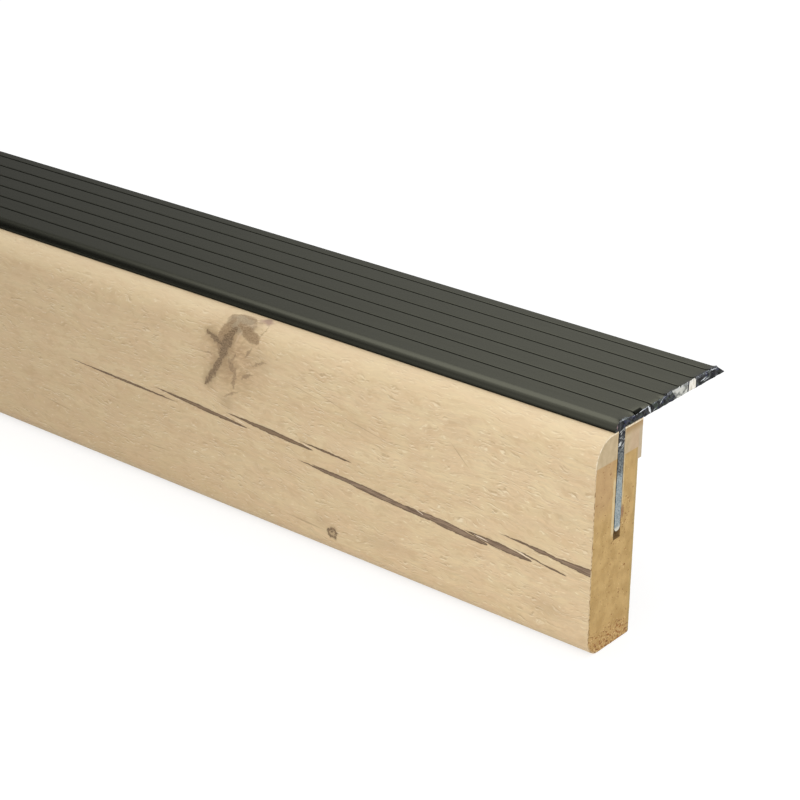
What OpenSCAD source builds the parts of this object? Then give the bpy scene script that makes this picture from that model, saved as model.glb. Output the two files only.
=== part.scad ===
// Stair nosing for a renovated step: a wood-based board with a rounded, oak-look front,
// a pale strip along its top, and a grooved aluminium anti-slip profile whose leg sits
// in a slot of the board.
// Every piece is straight stock. Its section is drawn with the depth to the right,
// from the decor face at 0, and the height upwards, from the bottom edge at 0.
// The origin is on the bottom edge, at the middle of the board's thickness and length.
// +X runs along the nosing, +Y from the decor face back over the step, +Z up.

/* [Length] */
// Length of the nosing
nosing_length = 1300; // [300:50:2700]

/* [Board] */
// Thickness of the board, with the decor sheet on its face
board_t = 17.3; // [15:0.1:22]
// Height of the wooden part, from the bottom edge to the underside of the flange
wood_h = 56; // [50:0.5:75]
// Radius of the front edge at the bottom, over the decor sheet
foot_r = 4.6; // [2:0.1:6]
// Radius of the back edge at the bottom
heel_r = 0.5; // [0.2:0.1:1.5]

/* [Pale strip] */
// Height of the strip, from its joint with the board to its top
strip_h = 6.5; // [5:0.1:9]
// How far the strip stands out behind the board
lip_t = 1.3; // [0.8:0.1:2.5]
// How far its lip hangs down behind the board, below the joint
lip_drop = 3.1; // [1:0.1:6]
// How deep the lip is let into the back of the board
lip_seat = 0.3; // [0.1:0.1:1]
// Radius of the front edge at the top, over the decor sheet
nose_r = 6.5; // [4:0.1:7]

/* [Decor sheet] */
// Thickness of the decor sheet
decor_t = 0.4; // [0.2:0.05:0.8]

/* [Slot] */
// Distance from the decor face to the middle of the slot
slot_y = 10; // [9.5:0.1:11]
// Width of the slot
slot_w = 2.8; // [2.6:0.1:3.6]
// Depth of the slot, from the top of the wooden part
slot_depth = 28; // [26.5:0.5:34]

/* [Aluminium profile] */
// Thickness of the flange
flange_t = 2.5; // [2:0.1:3.5]
// Distance from the decor face to the front of the flange
flange_front = 7; // [6.5:0.1:8]
// Distance from the decor face to the back tip of the flange
flange_back = 53.4; // [53:0.1:60]
// How much shorter the flange is on top than underneath, at its bevelled back edge
bevel_run = 3.8; // [1:0.1:5]
// Thickness that is left at the back tip
tip_t = 0.2; // [0.1:0.05:0.6]
// Height of the glue seat in the underside, over the back part of the strip
glue_seat = 0.2; // [0.1:0.05:0.5]
// How far the glue seat runs on behind the strip
glue_seat_run = 0.3; // [0.1:0.1:1]
// Thickness of the leg
leg_t = 2.4; // [1.6:0.1:2.5]
// Length of the leg below the flange
leg_len = 26; // [20:0.5:26]

/* [Anti-slip grooves] */
// Number of grooves along the top of the flange
groove_count = 6; // [3:1:6]
// Distance from the decor face to the first groove
groove_first = 15.1; // [13:0.1:15.4]
// Distance from one groove to the next
groove_pitch = 6.3; // [4:0.1:6.3]
// Width of a groove at the top
groove_w = 0.6; // [0.3:0.05:1.2]
// Depth of a groove
groove_depth = 0.5; // [0.2:0.05:1]

/* [Hidden] */

// Segments of a full circle
$fn = 96;

// Overrun of a cutter beyond the face that it opens
cut = 1;

// Heights of the strip's top, under the decor sheet, and of its joint with the board
strip_top = wood_h - decor_t;
joint_z = strip_top - strip_h;

// Depths of the slot's two walls, and of the back of the strip
slot_front = slot_y - slot_w / 2;
slot_back = slot_y + slot_w / 2;
strip_back = board_t + lip_t;

// Depth of the back of the leg
leg_back = slot_y + leg_t / 2;

aluminium_color = "#565449";
board_color = "#bd9b66";
strip_color = "#c3ad88";
decor_color = "#dfc9a2";

// Carries a section along the whole nosing
module run_along() {
    translate([0, -board_t / 2, 0])
        rotate([90, 0, 90])
            linear_extrude(height = nosing_length, center = true)
                children();
}

// What a rounded edge takes off the square corner at the section's origin.
// skin is the thickness of a sheet that follows the edge outside the arc.
module edge_waste(r, skin = 0) {
    difference() {
        translate([-cut, -cut])
            square([r + cut, r + cut]);
        translate([r, r])
            circle(r = r - skin);
    }
}

// Wood under a skin on its front, with both front edges rounded, back to a given depth
module rounded_wood(back, skin = 0) {
    difference() {
        translate([skin, -cut])
            square([back - skin, wood_h - skin + cut]);
        edge_waste(foot_r, skin);
        translate([0, wood_h])
            mirror([0, 1])
                edge_waste(nose_r, skin);
    }
}

// Section of the saw slot that takes the leg
module slot_section() {
    translate([slot_front, wood_h - slot_depth])
        square([slot_w, slot_depth + cut]);
}

// Board under the decor sheet and the strip, open at the slot, with the seat of the lip
module core_section() {
    difference() {
        intersection() {
            rounded_wood(board_t, decor_t);
            square([board_t, joint_z]);
        }
        slot_section();
        lip_section();
        translate([board_t, 0])
            mirror([1, 0])
                edge_waste(heel_r);
    }
}

// Lip of the strip, let into the back of the board
module lip_section() {
    translate([board_t - lip_seat, joint_z - lip_drop])
        square([lip_t + lip_seat, lip_drop + cut]);
}

// Whole pale strip, before the slot parts it
module strip_section() {
    intersection() {
        rounded_wood(strip_back, decor_t);
        union() {
            translate([0, joint_z])
                square([strip_back, strip_h]);
            lip_section();
        }
    }
}

// Decor sheet, from the foot of the board over its face to the front wall of the slot
module decor_front_section() {
    difference() {
        intersection() {
            rounded_wood(slot_front);
            square([slot_front, wood_h]);
        }
        rounded_wood(slot_front + cut, decor_t);
    }
}

// Flange, rounded over its whole thickness in front and bevelled at its back edge
module flange_section() {
    flat_front = flange_front + flange_t;
    polygon([
        [flat_front, 0],
        [flange_back, 0],
        [flange_back, tip_t],
        [flange_back - bevel_run, flange_t],
        [flat_front, flange_t]
    ]);
    intersection() {
        translate([flat_front, 0])
            circle(r = flange_t);
        translate([flange_front, 0])
            square([flange_t, flange_t]);
    }
}

// Shallow seat for the glue, from the leg to just behind the strip
module glue_seat_section() {
    translate([leg_back, -cut])
        square([strip_back + glue_seat_run - leg_back, glue_seat + cut]);
}

// Leg with its rounded tip, down from the underside of the flange
module leg_section() {
    translate([slot_y - leg_t / 2, leg_t / 2 - leg_len])
        square([leg_t, leg_len - leg_t / 2]);
    translate([slot_y, leg_t / 2 - leg_len])
        circle(r = leg_t / 2);
}

// V groove in the top of the flange, with its middle at 0
module groove_section() {
    slope = groove_w / 2 / groove_depth;
    half_w = slope * (groove_depth + cut);
    polygon([
        [0, flange_t - groove_depth],
        [half_w, flange_t + cut],
        [-half_w, flange_t + cut]
    ]);
}

// Extrusion of one piece: flange, leg and anti-slip grooves
module aluminium_profile() {
    color(aluminium_color)
        run_along()
            translate([0, wood_h])
                difference() {
                    union() {
                        flange_section();
                        leg_section();
                    }
                    glue_seat_section();
                    for (i = [0 : groove_count - 1])
                        translate([groove_first + i * groove_pitch, 0])
                            groove_section();
                }
}

// Fibreboard core with the slot
module core_board() {
    color(board_color)
        run_along()
            core_section();
}

// Front part of the pale strip, under the rounded edge
module nose_strip_front() {
    color(strip_color)
        run_along()
            intersection() {
                strip_section();
                square([slot_front, wood_h]);
            }
}

// Back part of the pale strip, with the lip behind the board
module nose_strip_back() {
    color(strip_color)
        run_along()
            intersection() {
                strip_section();
                translate([slot_back, 0])
                    square([strip_back - slot_back, wood_h]);
            }
}

// Oak-look sheet on the face and both rounded edges
module decor_sheet_front() {
    color(decor_color)
        run_along()
            decor_front_section();
}

// Rest of the sheet on top of the strip, behind the slot
module decor_sheet_back() {
    color(decor_color)
        run_along()
            translate([slot_back, strip_top])
                square([strip_back - slot_back, decor_t]);
}

aluminium_profile();
core_board();
nose_strip_front();
nose_strip_back();
decor_sheet_front();
decor_sheet_back();
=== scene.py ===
# %% [markdown]
# # A stair nosing
#
# A stair nosing covers the front edge of an old step. This one is a fibreboard board with a printed
# oak sheet on its face. A paler strip is glued along its top, and both front edges are rounded.
# A dark aluminium extrusion closes it: its leg goes down a saw slot in the board, and its grooved
# flange lies back over the tread.
#
# The frame holds these pieces at their real size. They are straight stock, so each of them is made
# again here as one section carried along X, with finer roundings, sawn ends and a finish.

# %% Open the frame
from math import degrees, hypot, pi, radians

import bpy
import numpy as np
from mathutils import Matrix, Vector


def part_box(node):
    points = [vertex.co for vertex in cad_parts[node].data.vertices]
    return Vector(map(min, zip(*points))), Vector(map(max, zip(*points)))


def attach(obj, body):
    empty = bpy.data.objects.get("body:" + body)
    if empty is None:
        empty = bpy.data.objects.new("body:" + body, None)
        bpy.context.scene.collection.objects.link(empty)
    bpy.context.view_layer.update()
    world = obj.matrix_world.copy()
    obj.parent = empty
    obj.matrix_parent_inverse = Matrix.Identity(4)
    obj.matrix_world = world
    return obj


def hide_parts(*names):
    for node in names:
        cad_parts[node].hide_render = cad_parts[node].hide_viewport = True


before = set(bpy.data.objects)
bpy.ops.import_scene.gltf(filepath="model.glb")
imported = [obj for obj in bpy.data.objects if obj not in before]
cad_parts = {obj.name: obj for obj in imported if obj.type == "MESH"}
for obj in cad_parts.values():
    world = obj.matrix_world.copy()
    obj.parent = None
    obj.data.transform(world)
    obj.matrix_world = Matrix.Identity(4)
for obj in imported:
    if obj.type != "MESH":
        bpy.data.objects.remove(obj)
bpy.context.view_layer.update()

print("pieces in the frame:", ", ".join(sorted(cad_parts)))

# %% [markdown]
# ## The camera
#
# The photograph is taken with a long lens, from the right and from above, so that the sawn end, the
# decor face and the grooved top all show. The camera's place was worked out from the edges of the
# nosing that run away from the viewer. It comes first, because everything else is judged through it.

# %% Place the camera
CAMERA_PLACE = (0.890988, -0.371710, 0.261129)
CAMERA_TURN = radians(39.397)
CAMERA_DIP = radians(24.2)
CAMERA_ROLL = radians(0.4987)
SENSOR_WIDTH = 36.0
LENS = 96.48

camera_data = bpy.data.cameras.new("camera")
camera_data.sensor_width = SENSOR_WIDTH
camera_data.lens = LENS
camera_data.clip_start = 0.01
camera_data.clip_end = 60.0
camera = bpy.data.objects.new("camera", camera_data)
camera.matrix_world = (
    Matrix.Translation(CAMERA_PLACE)
    @ Matrix.Rotation(CAMERA_TURN, 4, "Z")
    @ Matrix.Rotation(pi / 2 - CAMERA_DIP, 4, "X")
    @ Matrix.Rotation(CAMERA_ROLL, 4, "Z")
)
bpy.context.collection.objects.link(camera)
bpy.context.scene.camera = camera
print(f"lens {LENS} mm, looking down {degrees(CAMERA_DIP):.1f} degrees")

# %% [markdown]
# ## Sizes
#
# Where a piece begins and ends is read from the frame, so that nothing can drift away from it.
# Radii, the slot's depth and the grooves can't be read from a box. They are repeated here in
# millimetres. In a section, depth is counted from the decor face and height from the bottom edge.

# %% Read the sizes
MM = 0.001


def low(node, axis):
    """Lowest coordinate of a piece of the frame, in millimetres."""
    return round(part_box(node)[0][axis] / MM, 3)


def high(node, axis):
    """Highest coordinate of a piece of the frame, in millimetres."""
    return round(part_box(node)[1][axis] / MM, 3)


X, Y, Z = 0, 1, 2
half_length = high("aluminium_profile", X)
decor_face = low("decor_sheet_front", Y)

board_t = high("core_board", Y) - decor_face
decor_t = low("core_board", Y) - decor_face
wood_h = high("decor_sheet_front", Z)
strip_top = high("nose_strip_front", Z)
joint_z = high("core_board", Z)
slot_front = high("decor_sheet_front", Y) - decor_face
slot_back = low("nose_strip_back", Y) - decor_face
strip_back = high("nose_strip_back", Y) - decor_face
lip_foot = low("nose_strip_back", Z)
flange_front = low("aluminium_profile", Y) - decor_face
flange_back = high("aluminium_profile", Y) - decor_face
flange_top = high("aluminium_profile", Z)
leg_foot = low("aluminium_profile", Z)

FOOT_R = 4.6
NOSE_R = 6.5
HEEL_R = 0.5
SLOT_DEPTH = 28.0
LIP_SEAT = 0.3
LEG_T = 2.4
GLUE_SEAT = 0.2
GLUE_SEAT_RUN = 0.3
BEVEL_RUN = 3.8
TIP_T = 0.2
GROOVE_COUNT = 6
GROOVE_FIRST = 15.1
GROOVE_PITCH = 6.3
GROOVE_W = 0.6
GROOVE_DEPTH = 0.5

flange_t = flange_top - wood_h
slot_floor = wood_h - SLOT_DEPTH
leg_middle = (slot_front + slot_back) / 2
print(f"length {2 * half_length:.0f} mm, board {board_t:.1f} mm, height {flange_top:.1f} mm")

# %% [markdown]
# ## Outlines
#
# A section's outline is made of straight stretches and arcs. Each helper gives its points in
# order, and `run` joins stretches that follow on from each other.


# %% Lines and arcs
def line(start, end, steps):
    """Points at equal steps on the straight line from start to end."""
    share = np.linspace(0, 1, steps + 1)[:, None]
    return (1 - share) * np.array(start, float) + share * np.array(end, float)


def arc(centre, radius, start, end, steps):
    """Points on a circle, centre + radius (cos a, sin a), with a from start to end in degrees."""
    a = np.radians(np.linspace(start, end, steps + 1))
    return np.array(centre, float) + radius * np.stack([np.cos(a), np.sin(a)], axis=1)


def run(*stretches):
    """Joins stretches. The first point of each one is the last of the one before."""
    return np.concatenate([stretches[0]] + [stretch[1:] for stretch in stretches[1:]])


def level(depths, height):
    """Points at the given depths, all at one height."""
    return np.column_stack([depths, np.full(len(depths), height)])


def upright(depth, heights):
    """Points at the given heights, all at one depth."""
    return np.column_stack([np.full(len(heights), depth), heights])


print("a quarter circle in two steps:", np.round(arc((0, 0), 1, 180, 90, steps=2), 2).tolist())

# %% [markdown]
# ## Sections
#
# A section could be one many-sided face, but then a sawn end could have no relief. So it is cut
# into ruled patches: each is a grid between a lower and an upper curve with equally many points.
# Where two patches meet, their points coincide and become one. The sides that belong to only one
# cell are the outline, and they are found by comparing every side with the reversed ones.


# %% Patches and sections
def patch(lower, upper, rows):
    """Grid of points (1 - v) lower + v upper, with v from 0 to 1 in rows."""
    v = np.linspace(0, 1, rows + 1)[:, None, None]
    return (1 - v) * lower + v * upper


def section(*patches):
    """Joins patches. Gives the points (depth, height) and the four-sided cells between them."""
    corners = []
    cells = []
    count = 0
    for grid in patches:
        rows, columns = grid.shape[:2]
        index = count + np.arange(rows * columns).reshape(rows, columns)
        around = [index[:-1, :-1], index[:-1, 1:], index[1:, 1:], index[1:, :-1]]
        cells.append(np.stack(around, axis=-1).reshape(-1, 4))
        corners.append(grid.reshape(-1, 2))
        count += rows * columns
    rounded = np.round(np.concatenate(corners), 4)
    points, merged = np.unique(rounded, axis=0, return_inverse=True)
    cells = merged.reshape(-1)[np.concatenate(cells)]
    area = cell_area(points, cells)
    cells = np.where((area < 0)[:, None], cells[:, ::-1], cells)
    return points, cells


def cell_area(points, cells):
    """Signed area of each cell, half the cross product of its diagonals."""
    first = points[cells[:, 2]] - points[cells[:, 0]]
    second = points[cells[:, 3]] - points[cells[:, 1]]
    return (first[:, 0] * second[:, 1] - first[:, 1] * second[:, 0]) / 2


def outline(cells):
    """Directed sides (from, to) of the outline, anticlockwise: those with no reversed partner."""
    sides = np.concatenate([cells[:, [i, (i + 1) % 4]] for i in range(4)])
    size = cells.max() + 1
    reversed_sides = sides[:, 1] * size + sides[:, 0]
    return sides[~np.isin(sides[:, 0] * size + sides[:, 1], reversed_sides)]


_, trial = section(patch(level([0, 1, 2], 0), level([0, 1, 2], 2), rows=2))
print(f"a square of {len(trial)} cells has {len(outline(trial))} sides in its outline")

# %% [markdown]
# ## From a section to a piece
#
# The same section stands at every station along X. The two ends keep all their points, the
# stations between them only the outline. Stations crowd near the ends, where saw marks and burrs
# bend the surface. A point moves only by a function of its place, so the ends and the long faces
# stay joined and the mesh stays closed.

# %% Carry a section along the nosing
NEAR_END = [0.25, 0.6, 1.2, 2.5, 6.0, 15.0, 35.0, 70.0]
MIDDLE_STEPS = 14
SHARP_ANGLE = radians(28)
end_steps = [half_length - step for step in NEAR_END]
middle = list(np.linspace(-end_steps[-1], end_steps[-1], MIDDLE_STEPS + 1))
stations = np.array([-x for x in end_steps[:-1]] + middle + end_steps[-2::-1])


def carry(name, flat, bend):
    """Makes a closed piece: the section at x for every station, with quads between them.

    The faces of the sawn ends get material slot 1 and the long faces slot 0. bend is a function
    that moves the points, given as columns x, depth and height in millimetres.
    """
    points, cells = flat
    count = len(points)
    sides = outline(cells)
    rim, place = np.unique(sides, return_inverse=True)
    place = place.reshape(-1, 2)
    ends = [np.column_stack([np.full(count, x), points]) for x in (half_length, -half_length)]
    rings = [np.column_stack([np.full(len(rim), x), points[rim]]) for x in stations]
    corners = bend(np.concatenate(ends + rings))
    starts = [place + 2 * count + k * len(rim) for k in range(len(stations))]
    levels = [sides + count] + starts + [sides]
    walls = [
        np.column_stack([above[:, 1], above[:, 0], below[:, 0], below[:, 1]])
        for below, above in zip(levels[:-1], levels[1:])
    ]
    faces = np.concatenate([cells, cells[:, ::-1] + count] + walls)
    mesh = bpy.data.meshes.new(name)
    placed = (corners + [0, decor_face, 0]) * MM
    mesh.from_pydata(placed.tolist(), [], faces.tolist())
    slots = np.where(np.arange(len(faces)) < 2 * len(cells), 1, 0)
    mesh.polygons.foreach_set("material_index", slots.astype(np.int32))
    mesh.polygons.foreach_set("use_smooth", np.ones(len(faces), bool))
    mesh.set_sharp_from_angle(angle=SHARP_ANGLE)
    piece = bpy.data.objects.new(name, mesh)
    bpy.context.collection.objects.link(piece)
    smallest = cell_area(points, cells).min()
    print(f"{name}: {2 * len(faces)} triangles, smallest cell {smallest:.4f} mm2")
    return piece


def stand_for(piece, node):
    """The piece takes the place of a node of the frame."""
    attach(piece, "root")
    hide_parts(node)


# %% [markdown]
# ## Saw marks
#
# A sawn end isn't flat. Random heights on a coarse lattice, blended smoothly between its corners,
# give the uneven depth of a cut. The numbers come from a sine of the lattice place, so each run
# gives the same surface without a random generator.


# %% Uneven depth of a sawn end
SAW_REACH = 0.2


def lattice(i, j, seed):
    """Repeatable number from 0 to 1 for each lattice corner: the fraction of a large sine."""
    wave = np.sin(i * 127.1 + j * 311.7 + seed * 74.7) * 43758.5453
    return wave - np.floor(wave)


def uneven(a, b, size, seed):
    """Heights from 0 to 1 that change over about size, blended by 3 t^2 - 2 t^3."""
    i, j = np.floor(a / size), np.floor(b / size)
    t, u = a / size - i, b / size - j
    t, u = t * t * (3 - 2 * t), u * u * (3 - 2 * u)
    front = (1 - u) * lattice(i, j, seed) + u * lattice(i, j + 1, seed)
    back = (1 - u) * lattice(i + 1, j, seed) + u * lattice(i + 1, j + 1, seed)
    return (1 - t) * front + t * back


def sawn(depth, cell, seed):
    """Bend that lets the two ends in by up to depth, and nothing a little way along."""

    def bend(corners):
        x, y, z = corners.T
        near = np.clip(1 - (half_length - np.abs(x)) / SAW_REACH, 0, 1)
        side = seed + (x < 0)
        rough = 0.6 * uneven(y, z, cell, side) + 0.4 * uneven(y, z, cell / 2.3, side + 5)
        return np.column_stack([x - np.sign(x) * near * depth * rough, y, z])

    return bend


print("saw depth varies between", *np.round(uneven(np.arange(6.0), np.zeros(6), 1.3, 2), 2))

# %% [markdown]
# ## Decor sheet
#
# The oak-look sheet is 0.4 mm thick and was wrapped round the finished board. Its section is the
# gap between two curves that follow each other: foot rounding, face, nose rounding and a short
# flat up to the slot. The print is rolled on flat, so each point also keeps how far up the sheet
# it lies. A pattern on that measure bends round the nose without stretching.

# %% Decor sheet, front part
foot_centre = (FOOT_R, FOOT_R)
nose_centre = (NOSE_R, wood_h - NOSE_R)


def skin_line(inset):
    """Front outline of the wood, moved inwards by inset: foot arc, face, nose arc and flat."""
    return run(
        arc(foot_centre, FOOT_R - inset, 270, 180, steps=16),
        line((inset, FOOT_R), (inset, wood_h - NOSE_R), steps=60),
        arc(nose_centre, NOSE_R - inset, 180, 90, steps=24),
        line((NOSE_R, wood_h - inset), (slot_front, wood_h - inset), steps=4),
    )


def up_sheet(y, z):
    """How far up the flat sheet a point lies: the height on the face, radius x angle on an arc."""
    foot_angle = np.arctan2(FOOT_R - z, np.maximum(FOOT_R - y, 1e-6))
    nose_angle = np.arctan2(z - nose_centre[1], np.maximum(NOSE_R - y, 1e-6))
    on_foot = FOOT_R - FOOT_R * foot_angle
    on_nose = nose_centre[1] + NOSE_R * nose_angle + np.maximum(y - NOSE_R, 0)
    return np.where(z < FOOT_R, on_foot, np.where(z > nose_centre[1], on_nose, z))


def keep_up_sheet(piece):
    """Writes the measure up the sheet into the mesh, in millimetres."""
    places = np.empty(3 * len(piece.data.vertices), np.float32)
    piece.data.vertices.foreach_get("co", places)
    places = places.reshape(-1, 3) / MM
    measure = up_sheet(places[:, 1] - decor_face, places[:, 2])
    kept = piece.data.attributes.new("up_sheet", "FLOAT", "POINT")
    kept.data.foreach_set("value", measure.astype(np.float32))
    print(f"sheet on {piece.name}: from {measure.min():.1f} to {measure.max():.1f} mm")


decor_front = carry(
    "oak_sheet_front",
    section(patch(skin_line(0), skin_line(decor_t), rows=2)),
    sawn(depth=0.05, cell=0.9, seed=3),
)
keep_up_sheet(decor_front)
stand_for(decor_front, "decor_sheet_front")

# %% Decor sheet, back part
flat_depths = np.linspace(slot_back, strip_back, 19)
decor_back = carry(
    "oak_sheet_back",
    section(patch(level(flat_depths, strip_top), level(flat_depths, wood_h), rows=2)),
    sawn(depth=0.05, cell=0.9, seed=4),
)
keep_up_sheet(decor_back)
stand_for(decor_back, "decor_sheet_back")

# %% [markdown]
# ## Pale strip
#
# The strip is a moulding of finer, paler fibreboard. The saw slot cuts it in two. The front part
# fills the nose under the sheet. The back part has a thin lip that hangs down behind the board.
# Both are ruled upwards from the joint, with the front points spaced so that the arc stays even.

# %% Pale strip, front part
inner_nose = NOSE_R - decor_t
arc_turn = np.linspace(0, pi / 2, 20)
flat_top = [NOSE_R + 0.7, NOSE_R + 1.4, slot_front]
strip_depths = np.concatenate([NOSE_R - inner_nose * np.cos(arc_turn), flat_top])
strip_rise = nose_centre[1] + inner_nose * np.sin(arc_turn)
strip_heights = np.concatenate([strip_rise, np.full(len(flat_top), strip_top)])
strip_upper = np.column_stack([strip_depths, strip_heights])

strip_front = carry(
    "pale_strip_front",
    section(patch(level(strip_depths, joint_z), strip_upper, rows=20)),
    sawn(depth=0.06, cell=0.8, seed=7),
)
stand_for(strip_front, "nose_strip_front")

# %% Pale strip, back part
lip_front = board_t - LIP_SEAT
lip_edge = line((lip_front, joint_z), (strip_back, joint_z), steps=6)
strip_joint = run(line((slot_back, joint_z), (lip_front, joint_z), steps=18), lip_edge)

strip_back_part = carry(
    "pale_strip_back",
    section(
        patch(strip_joint, strip_joint + [0, strip_top - joint_z], rows=20),
        patch(lip_edge - [0, joint_z - lip_foot], lip_edge, rows=10),
    ),
    sawn(depth=0.06, cell=0.8, seed=9),
)
stand_for(strip_back_part, "nose_strip_back")

# %% [markdown]
# ## Board
#
# The board stands under the strip. Its rows run level from the sheet to the back, so the foot
# rounding and the small radius at the heel are just where each row begins and ends. Above the
# slot's floor the board is two walls, with the seat of the lip at the top of the back one.

# %% Board section
# Cells of a row in front of the slot, under it and behind it
COLUMNS = (22, 8, 16)
ROW_STEP = 0.4


def front_of(z):
    """Front of the board at a height: flush with the inside of the sheet, or its end below."""
    drop = np.clip(FOOT_R - z, 0, FOOT_R - decor_t)
    reach = np.sqrt((FOOT_R - decor_t) ** 2 - drop**2)
    return np.where(z < decor_t, FOOT_R, FOOT_R - reach)


def back_of(z):
    """Back of the board at a height, with the heel's radius."""
    drop = np.clip(HEEL_R - z, 0, HEEL_R)
    return board_t - HEEL_R + np.sqrt(HEEL_R**2 - drop**2)


def row_ends(heights, side):
    """Points of a side of the board at each height."""
    return np.column_stack([side(heights), heights])


foot_turn = np.linspace(0, pi / 2, 16)
foot_heights = FOOT_R - (FOOT_R - decor_t) * np.cos(foot_turn)
low_rows = np.arange(FOOT_R + ROW_STEP, slot_floor, ROW_STEP)
low_heights = np.concatenate([[0, 0.06, 0.2], foot_heights, low_rows, [slot_floor]])
high_heights = np.concatenate([np.arange(slot_floor, lip_foot, ROW_STEP), [lip_foot]])
seat_heights = np.linspace(lip_foot, joint_z, 8)

top_front = front_of(np.array(slot_floor))
walls = np.array([slot_front, slot_back]) - top_front
slot_start, slot_end = walls / (board_t - top_front)
before_slot = np.linspace(0, slot_start, COLUMNS[0] + 1)
under_slot = np.linspace(slot_start, slot_end, COLUMNS[1] + 1)
behind_slot = np.linspace(slot_end, 1, COLUMNS[2] + 1)
shares = np.concatenate([before_slot, under_slot[1:-1], behind_slot])
print(f"board rows: {len(low_heights) + len(high_heights)}, columns: {len(shares)}")


def ruled_rows(front, back, share):
    """Grid of points (1 - share) front + share back, one row for each pair of ends."""
    share = share[None, :, None]
    return (1 - share) * front[:, None, :] + share * back[:, None, :]


# %% Board piece
depths = top_front + (board_t - top_front) * shares
front_share = (depths[: COLUMNS[0] + 1] - top_front) / (slot_front - top_front)
back_share = (depths[-COLUMNS[2] - 1 :] - slot_back) / (board_t - slot_back)
wall_heights = np.concatenate([high_heights, seat_heights[1:]])

board = carry(
    "brown_board",
    section(
        ruled_rows(row_ends(low_heights, front_of), row_ends(low_heights, back_of), shares),
        ruled_rows(upright(decor_t, wall_heights), upright(slot_front, wall_heights), front_share),
        ruled_rows(upright(slot_back, high_heights), upright(board_t, high_heights), back_share),
        ruled_rows(upright(slot_back, seat_heights), upright(board_t, seat_heights), back_share),
    ),
    sawn(depth=0.09, cell=1.1, seed=11),
)
stand_for(board, "core_board")

# %% [markdown]
# ## Aluminium profile
#
# The extrusion is ruled upwards too. Its lower curve is the underside, with the small foot radius
# of the nose, the leg's root and the shallow glue seat. Its upper curve is the quarter-round nose,
# the land with six V grooves and the bevel at the back. The lips of a real groove are broken
# by the die, so its flanks run into the land over a short rounding.

# %% Upper and lower curve of the flange
FOOT_ROUND = 0.25
GROOVE_LIP = 0.1
GROOVE_REACH = 0.5
nose_middle = (flange_front + flange_t, wood_h)
foot_middle = (flange_front + FOOT_ROUND, wood_h + FOOT_ROUND)
groove_middles = GROOVE_FIRST + GROOVE_PITCH * np.arange(GROOVE_COUNT)
groove_offsets = np.array([-0.5, -0.42, -0.36, -0.3, -0.24, -0.16, -0.08, -0.03, 0])
groove_offsets = np.concatenate([groove_offsets, -groove_offsets[-2::-1]])


def from_groove(depths):
    """Distance of each depth from the middle of the nearest groove."""
    return np.abs(depths[:, None] - groove_middles[None, :]).min(axis=1)


def soft_fall(away):
    """Share of a groove's depth at a distance from its middle, with its lips rounded off.

    The V falls evenly over half its width. The square root of its square plus the lip's square
    is a hyperbola that follows the flank and leaves the land softly.
    """
    fall = 1 - away / (GROOVE_W / 2)
    return (fall + np.sqrt(fall**2 + (GROOVE_LIP * 2) ** 2)) / 2


def land_height(depths):
    """Height of the land: the top, less the soft V of a groove within its reach."""
    away = from_groove(depths)
    cut = np.maximum(soft_fall(away) - soft_fall(GROOVE_REACH), 0)
    return flange_top - GROOVE_DEPTH * np.where(away < GROOVE_REACH, cut, 0)


def land_stations(start, end, spacing):
    """Depths from start to end, crowded across the grooves."""
    grooves = (groove_middles[:, None] + groove_offsets[None, :]).reshape(-1)
    plain = np.arange(start, end, spacing)
    clear = from_groove(plain) > GROOVE_REACH + 0.1
    inside = grooves[(grooves > start) & (grooves < end)]
    return np.unique(np.round(np.concatenate([[start], plain[clear], inside, [end]]), 4))


groove_floor = float(land_height(groove_middles[:1])[0])
print(f"depth of a groove: {flange_top - groove_floor:.3f} mm")

# %% Section of the profile
LAND_STEP = 0.35
STEP_SLANT = 0.1
ARC_START = FOOT_ROUND + 0.12
leg_half = LEG_T / 2
leg_back = leg_middle + leg_half
seat_back = strip_back + GLUE_SEAT_RUN
bevel_top = flange_back - BEVEL_RUN
turn_at_land = np.arccos((leg_middle - nose_middle[0]) / leg_half)
leg_turns = [np.linspace(0, turn_at_land, 6), np.linspace(turn_at_land, pi, 12)[1:]]
leg_turns = np.concatenate(leg_turns)
leg_depths = leg_middle - leg_half * np.cos(leg_turns)

under_nose = run(
    arc(foot_middle, FOOT_ROUND, 180, 270, steps=5),
    line((foot_middle[0], wood_h), (leg_middle - leg_half, wood_h), steps=6),
    level(leg_depths[:6], wood_h),
)
nose_start = degrees(pi - np.arcsin(ARC_START / flange_t))
over_nose = arc(nose_middle, flange_t, nose_start, 90, steps=len(under_nose) - 1)


def spread(land, start, end):
    """Depths from start to end, spaced as those on the land above them."""
    return start + (end - start) * ((land - land[0]) / (land[-1] - land[0]))


seat_land = land_stations(leg_back + STEP_SLANT, seat_back - STEP_SLANT, LAND_STEP)
back_land = land_stations(seat_back + STEP_SLANT, bevel_top, LAND_STEP)
under_flange = np.concatenate(
    [
        under_nose,
        level(leg_depths[6:], wood_h),
        level(spread(seat_land, leg_back, seat_back), wood_h + GLUE_SEAT),
        level(spread(back_land, seat_back, bevel_top), wood_h),
        line((bevel_top, wood_h), (flange_back, wood_h), steps=12)[1:],
    ]
)
over_flange = np.concatenate(
    [
        over_nose,
        level(leg_depths[6:], flange_top),
        np.column_stack([seat_land, land_height(seat_land)]),
        np.column_stack([back_land, land_height(back_land)]),
        line((bevel_top, flange_top), (flange_back, wood_h + TIP_T), steps=12)[1:],
    ]
)
tip_drop = np.sqrt(np.maximum(leg_half**2 - (leg_depths - leg_middle) ** 2, 0))
leg_tip = np.column_stack([leg_depths, leg_foot + leg_half - tip_drop])
print("points on the upper curve:", len(over_flange), "and on the lower one:", len(under_flange))

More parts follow.
